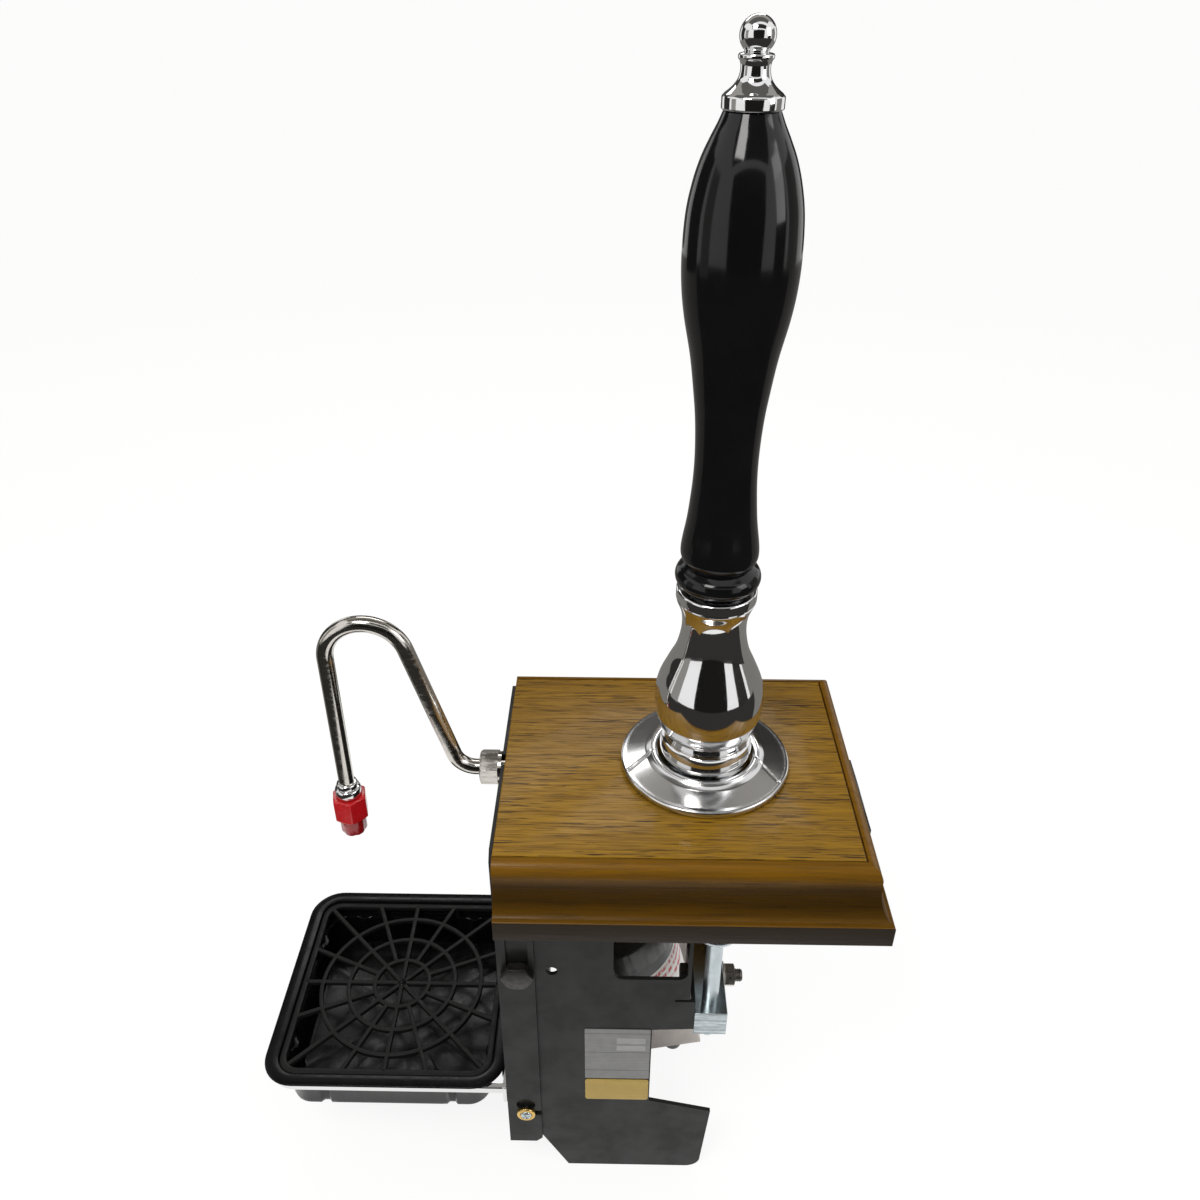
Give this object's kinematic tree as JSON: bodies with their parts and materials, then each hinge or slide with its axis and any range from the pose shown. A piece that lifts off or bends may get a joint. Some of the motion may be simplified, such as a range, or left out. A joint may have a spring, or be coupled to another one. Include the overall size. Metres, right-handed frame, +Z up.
{
  "type": "hand pump beer engine",
  "caption": "Clamp-on hand pump for drawing cask beer: turned pull handle on a wooden casing, side-plate frame with a piston pump, swan neck spout and lift-out drip tray",
  "frame": {"origin": "The point on the seat face, the underside of the wooden casing that sits on the bar, that lies on the middle plane, 50 mm behind the handle's axis.", "axes": "+X points across the bar, away from the server and the spout; +Y points to the left of a server who faces the bar; +Z is up, along the upright handle."},
  "size_m": [0.3857, 0.192, 0.695],
  "materials": {
    "golden_oak": "stained and lacquered",
    "dark_oak": "stained and lacquered",
    "foot_wood": "dark stain",
    "black_paint": "gloss powder coat",
    "grey_sheet": "dark grey satin coat",
    "zinc": "bright zinc plate",
    "dark_zinc": "dark zinc plate",
    "steel": "turned",
    "silver_tag": "satin",
    "gold_tag": "satin",
    "brass": "turned",
    "chrome": "polished plate",
    "black_gloss": "moulded, polished",
    "black_satin": "moulded, satin",
    "red_plastic": "moulded, polished",
    "grey_plastic": "moulded",
    "white_band": "printed film",
    "clear_tube": "translucent moulding",
    "cast_alloy": "as cast",
    "white_plastic": "machined",
    "rubber": "moulded"
  },
  "bodies": {
    "stand": {"top_board": "golden_oak", "near_moulding": "dark_oak", "far_moulding": "dark_oak", "bar_side_moulding": "dark_oak", "seat_panel": "foot_wood", "clip_bracket": "black_paint", "near_side_plate": "grey_sheet", "far_side_plate": "grey_sheet", "front_cover": "grey_sheet", "stay_rods": "dark_zinc", "frame_screws": "zinc", "silver_plate": "silver_tag", "gold_plate": "gold_tag", "cover_bolts": "dark_zinc", "cup_washers": "brass", "cover_screws": "zinc", "pivot_bracket": "zinc", "pivot_pin": "steel", "rosette": "chrome", "clamp_bar": "zinc", "clamp_bolts": "dark_zinc", "clamp_nuts": "zinc", "tray_rail": "chrome", "tray_rail_screws": "zinc", "spout_elbow": "chrome", "spout_nut": "chrome", "cylinder_tube": "clear_tube", "cylinder_cap": "grey_plastic", "cylinder_band": "white_band", "gland_nut": "brass", "cylinder_foot": "cast_alloy", "mount_spacers": "dark_zinc", "valve_balls": "rubber", "inlet_fitting": "black_satin", "outlet_fitting": "cast_alloy", "outlet_hose": "clear_tube"},
    "handle": {"grip": "black_gloss", "grip_collar": "black_gloss", "finial": "chrome", "handle_ferrule": "chrome", "handle_stud": "steel", "lever": "zinc", "lever_bush": "brass", "crank_pin": "steel"},
    "link": {"link_plates": "zinc"},
    "piston": {"piston": "white_plastic", "piston_seals": "rubber", "piston_rod": "steel", "rod_eye": "steel", "wrist_pin": "steel"},
    "near_clamp": {"near_clamp_screw": "zinc", "near_clamp_pad": "zinc"},
    "far_clamp": {"far_clamp_screw": "zinc", "far_clamp_pad": "zinc"},
    "tray": {"drip_tray": "black_gloss"},
    "grid": {"tray_grid": "black_satin"},
    "spout": {"swan_neck": "chrome", "spout_ferrule": "chrome"},
    "sparkler": {"sparkler_cap": "red_plastic", "sparkler_nozzle": "red_plastic"}
  },
  "joints": [
    {"name": "handle_pull", "type": "hinge", "parent": "stand", "child": "handle", "pos_m": [-0.05, 0, 0.061], "axis": [0, -1, 0], "range_deg": [0, 30]},
    {"name": "link_swing", "type": "hinge", "parent": "handle", "child": "link", "pos_m": [-0.134, 0, 0.014], "axis": [0, -1, 0], "range_deg": [-58.6, 0]},
    {"name": "piston_stroke", "type": "slide", "parent": "stand", "child": "piston", "axis": [0.2588, 0, -0.9659], "range_m": [0, 0.0391]},
    {"name": "near_clamp_turn", "type": "slide", "parent": "stand", "child": "near_clamp", "axis": [0, 0, 1], "range_m": [-0.051, 0.016]},
    {"name": "far_clamp_turn", "type": "slide", "parent": "stand", "child": "far_clamp", "axis": [0, 0, 1], "range_m": [-0.051, 0.016]},
    {"name": "tray_lift", "type": "slide", "parent": "stand", "child": "tray", "axis": [0, 0, 1], "range_m": [0, 0.07]},
    {"name": "grid_lift", "type": "slide", "parent": "tray", "child": "grid", "axis": [0, 0, 1], "range_m": [0, 0.04]},
    {"name": "spout_swivel", "type": "hinge", "parent": "stand", "child": "spout", "pos_m": [-0.1797, 0, 0.0405], "axis": [1, 0, 0], "range_deg": [-90, 90]},
    {"name": "sparkler_turn", "type": "hinge", "parent": "spout", "child": "sparkler", "pos_m": [-0.2682, 0, 0.005], "axis": [0, 0, 1], "continuous": true}
  ],
  "couplings": [
    {"joint": "link_swing", "follows": "handle_pull", "ratio": -1.9468},
    {"joint": "piston_stroke", "follows": "handle_pull", "m_per_rad": 0.07441}
  ]
}
